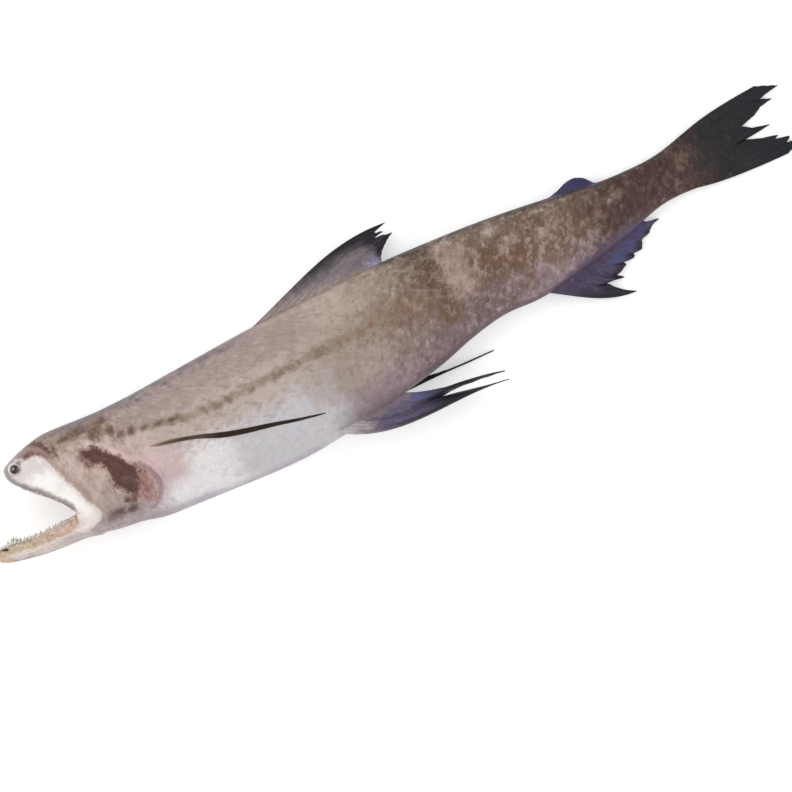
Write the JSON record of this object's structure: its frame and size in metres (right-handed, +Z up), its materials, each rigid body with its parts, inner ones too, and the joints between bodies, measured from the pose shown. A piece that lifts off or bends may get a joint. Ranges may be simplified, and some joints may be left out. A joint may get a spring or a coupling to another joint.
{
  "type": "bombay duck",
  "caption": "Whole raw bombay duck lying on its side, long soft body, wide open toothed mouth, shut breast fins and a three-lobed tail.",
  "frame": {"origin": "middle of the fish's outline seen from above, on the surface that it lies on", "axes": "+X from head to tail, +Y from belly to back, +Z up from the side that the fish lies on"},
  "size_m": [0.2802, 0.061, 0.0257],
  "materials": {
    "skin": "moist",
    "eye": "wet gloss"
  },
  "bodies": {
    "root": {"fish": "skin", "eye_left": "eye", "eye_right": "eye"}
  },
  "joints": []
}
